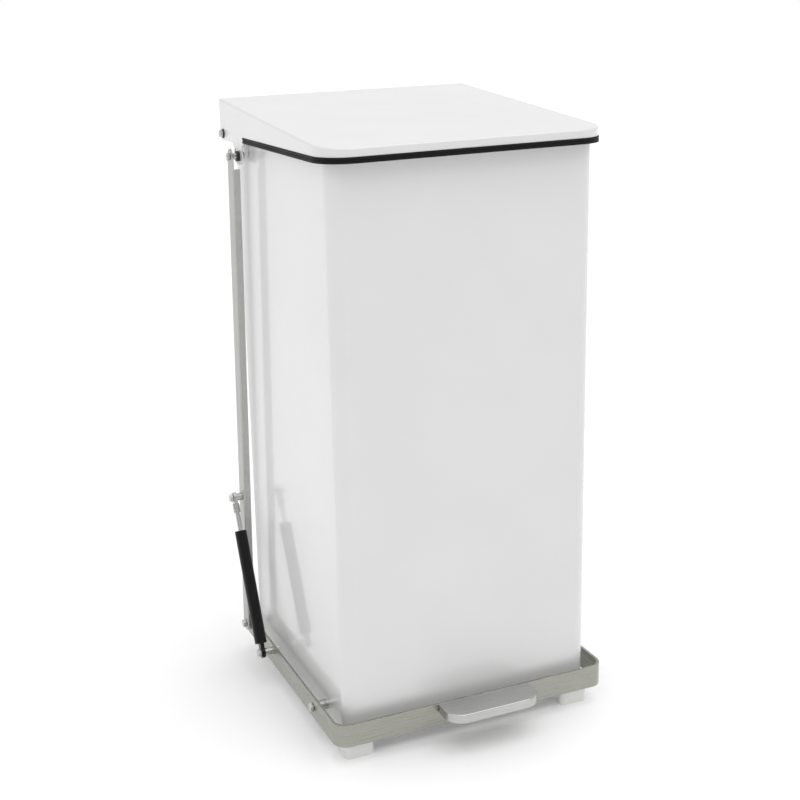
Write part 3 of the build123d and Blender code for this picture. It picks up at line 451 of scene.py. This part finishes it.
def light_the_room(tree, settings):
    """A white room: bright overhead and behind, dimmer at the front, and plain white where it is seen directly."""
    direction = add_node(tree, "ShaderNodeTexCoord").outputs["Generated"]
    parts = add_node(tree, "ShaderNodeSeparateXYZ", Vector=direction)
    front_to_back = add_node(
        tree,
        "ShaderNodeMapRange",
        {"interpolation_type": "SMOOTHSTEP"},
        Value=parts.outputs["Y"],
        From_Min=FRONT_WALL_EDGE,
        From_Max=BACK_WALL_EDGE,
        To_Min=settings.front_wall,
        To_Max=settings.back_wall,
    )
    rise = add_node(
        tree,
        "ShaderNodeMapRange",
        {"interpolation_type": "SMOOTHSTEP"},
        Value=parts.outputs["Z"],
        From_Min=WALL_TOP,
        From_Max=CEILING_EDGE,
    )
    level = add_node(
        tree,
        "ShaderNodeMix",
        {"data_type": "FLOAT"},
        Factor=rise.outputs["Result"],
        A=front_to_back.outputs["Result"],
        B=settings.ceiling,
    )
    seen = add_node(tree, "ShaderNodeLightPath").outputs["Is Camera Ray"]
    strength = add_node(tree, "ShaderNodeMix", {"data_type": "FLOAT"}, Factor=seen, A=level.outputs["Result"], B=1.0)
    background = tree.nodes["Background"]
    background.inputs["Color"].default_value = linear("#FFFFFF")
    tree.links.new(strength.outputs["Result"], background.inputs["Strength"])


def lay_floor(scene, settings):
    """A wide level table under the object."""
    mesh = bpy.data.meshes.new("studio_floor")
    bm = bmesh.new()
    bmesh.ops.create_grid(bm, x_segments=2, y_segments=2, size=settings.floor_reach)
    bm.to_mesh(mesh)
    bm.free()
    floor = bpy.data.objects.new("studio_floor", mesh)
    scene.collection.objects.link(floor)
    floor.data.materials.append(floor_with_painted_glow("studio_floor_painted_glow", settings.floor_glow))


def hang_overhead_light(scene, settings):
    """One broad, soft light from above and a little from the front."""
    lamp = bpy.data.lights.new("overhead_light", "SUN")
    lamp.energy = settings.overhead
    lamp.angle = settings.overhead_spread
    overhead = bpy.data.objects.new("overhead_light", lamp)
    scene.collection.objects.link(overhead)
    overhead.rotation_mode = "QUATERNION"
    overhead.rotation_quaternion = Vector(OVERHEAD_AIM).to_track_quat("-Z", "Y")


def stand_camera(scene, settings):
    """The camera, turned by its azimuth and elevation and then rolled about its own line of sight."""
    camera = bpy.data.objects.new("studio_camera", bpy.data.cameras.new("studio_camera"))
    scene.collection.objects.link(camera)
    camera.data.sensor_width = SENSOR_WIDTH_MM
    camera.data.lens = settings.lens
    camera.data.shift_x = settings.shift_x
    camera.data.shift_y = settings.shift_y
    a, e, roll = settings.camera_azimuth, settings.camera_elevation, settings.camera_roll
    back = Vector((-math.sin(a) * math.cos(e), -math.cos(a) * math.cos(e), math.sin(e)))
    right = (-back).cross(Vector((0, 0, 1))).normalized()
    up = right.cross(-back)
    across = math.cos(roll) * right + math.sin(roll) * up
    upward = math.cos(roll) * up - math.sin(roll) * right
    turn = Matrix((across, upward, back)).transposed().to_4x4()
    camera.matrix_world = Matrix.Translation(Vector(settings.camera_at)) @ turn
    scene.camera = camera


class RECEPTACLE_OT_stage(bpy.types.Operator):
    """Lay the floor, hang the lights and stand the camera"""

    bl_idname = "receptacle.stage"
    bl_label = "Studio"

    def execute(self, context):
        scene = context.scene
        settings = scene.receptacle_stage
        lay_floor(scene, settings)
        world = bpy.data.worlds.new("studio_room")
        world.use_nodes = True
        scene.world = world
        light_the_room(world.node_tree, settings)
        hang_overhead_light(scene, settings)
        stand_camera(scene, settings)
        scene.view_settings.view_transform = "Standard"
        return {"FINISHED"}


# ---------------------------------------------------------------- panel and registration


class RECEPTACLE_PT_panel(bpy.types.Panel):
    """The receptacle's settings and pieces"""

    bl_idname = "RECEPTACLE_PT_panel"
    bl_label = "Receptacle"
    bl_space_type = "VIEW_3D"
    bl_region_type = "UI"
    bl_category = "Receptacle"

    def draw(self, context):
        for settings in (context.scene.receptacle_finish, context.scene.receptacle_stage):
            for name in type(settings).__annotations__:
                self.layout.prop(settings, name)
        for operator in OPERATORS:
            self.layout.operator(operator.bl_idname)


OPERATORS = (
    RECEPTACLE_OT_cabinet,
    RECEPTACLE_OT_liner,
    RECEPTACLE_OT_gasket,
    RECEPTACLE_OT_lever,
    RECEPTACLE_OT_damper,
    RECEPTACLE_OT_fasteners,
    RECEPTACLE_OT_stage,
)
CLASSES = (ReceptacleFinish, ReceptacleStage, *OPERATORS, RECEPTACLE_PT_panel)


def register():
    for cls in CLASSES:
        bpy.utils.register_class(cls)
    bpy.types.Scene.receptacle_finish = PointerProperty(type=ReceptacleFinish)
    bpy.types.Scene.receptacle_stage = PointerProperty(type=ReceptacleStage)


def unregister():
    del bpy.types.Scene.receptacle_stage
    del bpy.types.Scene.receptacle_finish
    for cls in reversed(CLASSES):
        bpy.utils.unregister_class(cls)


def main():
    register()
    bpy.ops.receptacle.cabinet()
    bpy.ops.receptacle.liner()
    bpy.ops.receptacle.gasket()
    bpy.ops.receptacle.lever()
    bpy.ops.receptacle.damper()
    bpy.ops.receptacle.fasteners()
    bpy.ops.receptacle.stage()


if __name__ == "__main__":
    main()
